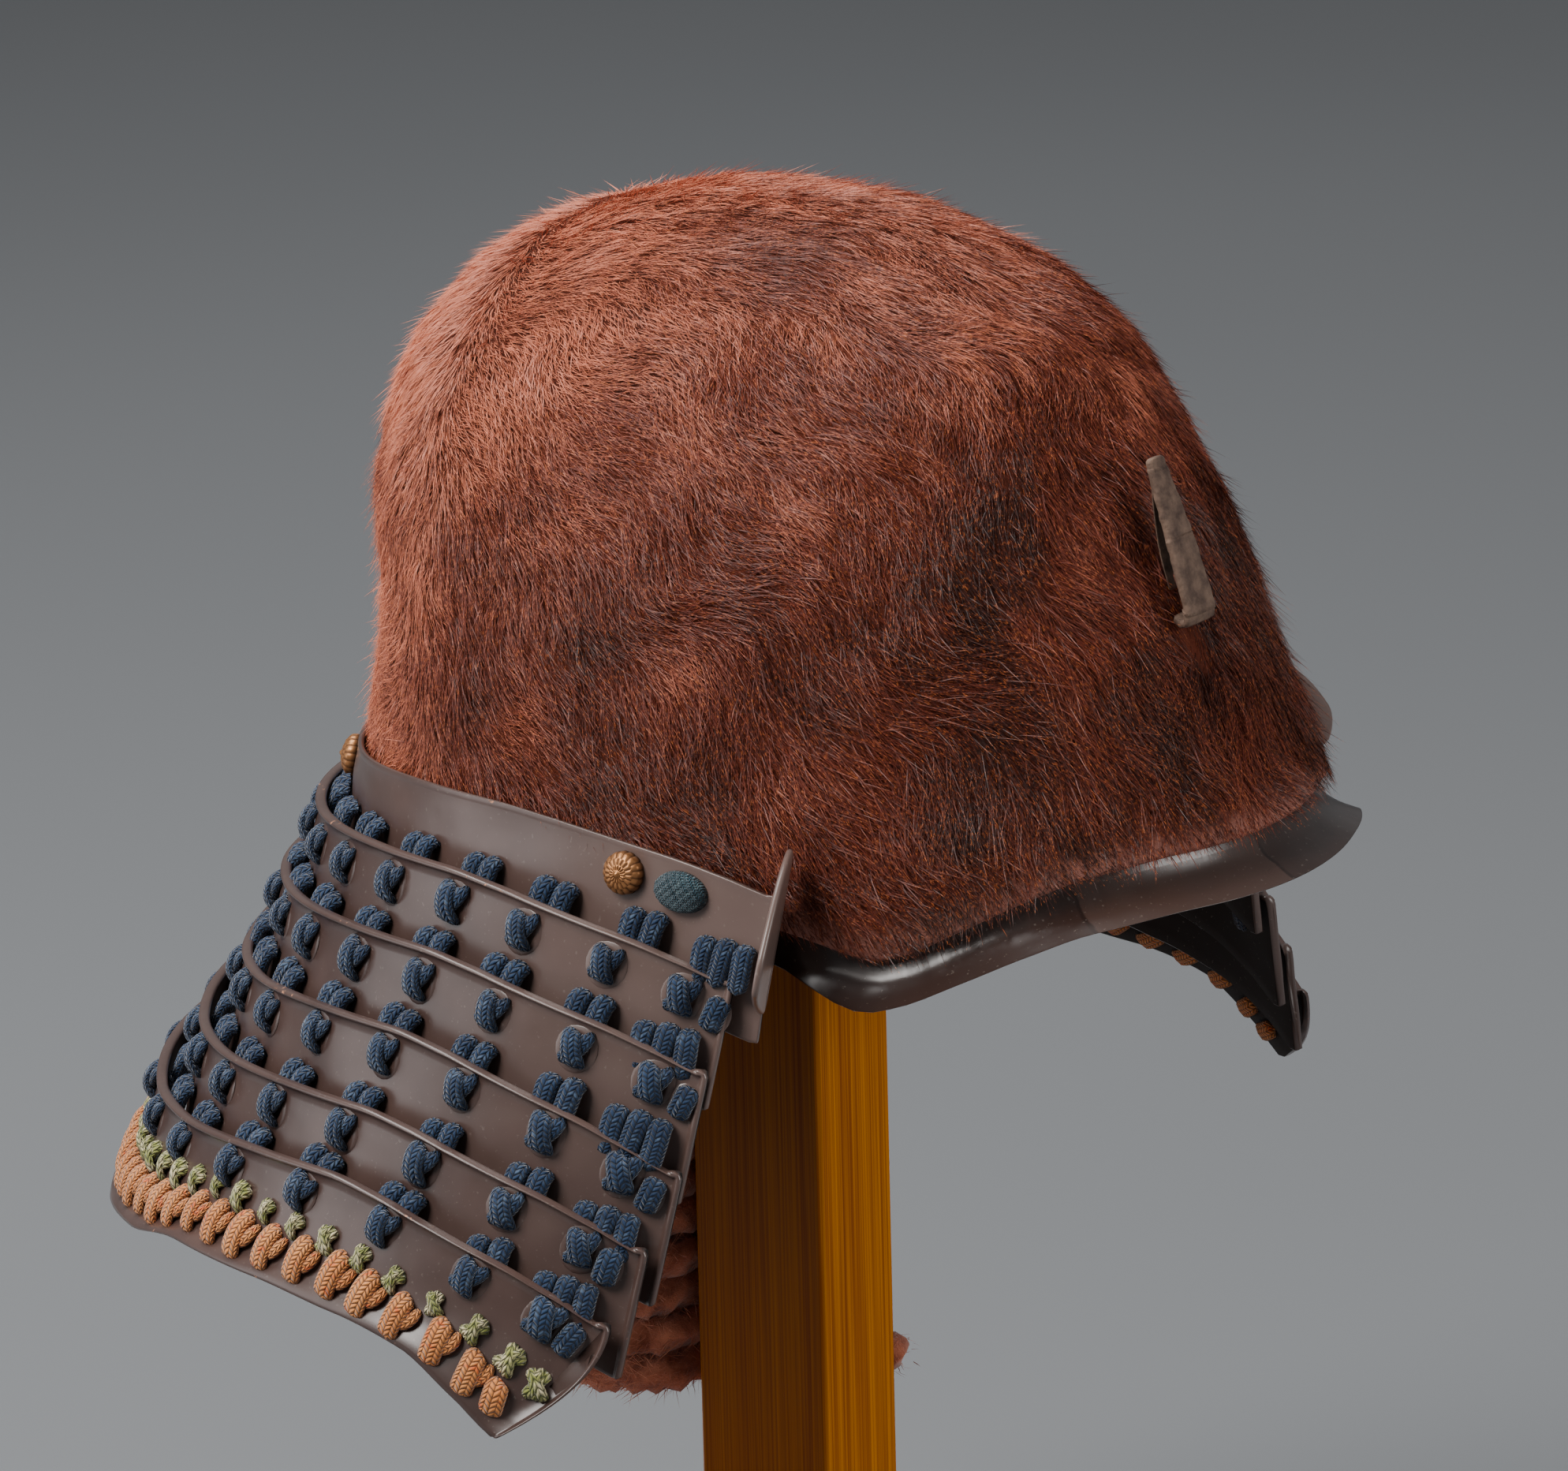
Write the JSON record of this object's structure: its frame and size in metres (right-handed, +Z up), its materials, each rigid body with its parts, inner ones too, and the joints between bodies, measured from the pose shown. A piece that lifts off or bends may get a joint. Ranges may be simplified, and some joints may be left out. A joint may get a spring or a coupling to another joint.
{
  "type": "samurai helmet on a plain wooden post stand",
  "caption": "Kabuto helmet with a fur-covered bowl, turned-out brim, laced lacquered neck guard, small wings and a crest prong, resting on a plain wooden post stand.",
  "frame": {"origin": "middle of the underside of the stand's base board", "axes": "+Z up, the front of the helmet faces -Y, the wearer's left is +X"},
  "size_m": [0.3628, 0.3363, 0.4785],
  "materials": {
    "lacquer": "dark brown lacquer over iron, satin, worn at the edges",
    "fur": "hide with short reddish-brown fur",
    "iron": "rusty forged iron",
    "brass": "dull old brass",
    "teal_cord": "blue-green plaited cord",
    "rust_cord": "rust-coloured fluffy cord",
    "wood": "honey-coloured varnished softwood"
  },
  "bodies": {
    "root": {"bowl_shell": "lacquer", "fur_hide": "fur", "neck_lame_1": "lacquer", "neck_lame_2": "lacquer", "neck_lame_3": "lacquer", "neck_lame_4": "lacquer", "neck_lame_5": "lacquer", "neck_lame_6": "lacquer", "rosette_front_left": "brass", "rosette_front_right": "brass", "rosette_back_left": "brass", "rosette_back_right": "brass", "knot_left": "teal_cord", "knot_right": "teal_cord", "crest_prong": "iron", "prong_spring": "iron", "chin_cord_hank": "rust_cord", "chin_cord_left": "rust_cord", "chin_cord_right": "rust_cord", "chin_cord_end": "rust_cord", "stand_post": "wood", "stand_head": "wood", "stand_base": "wood"}
  },
  "joints": []
}
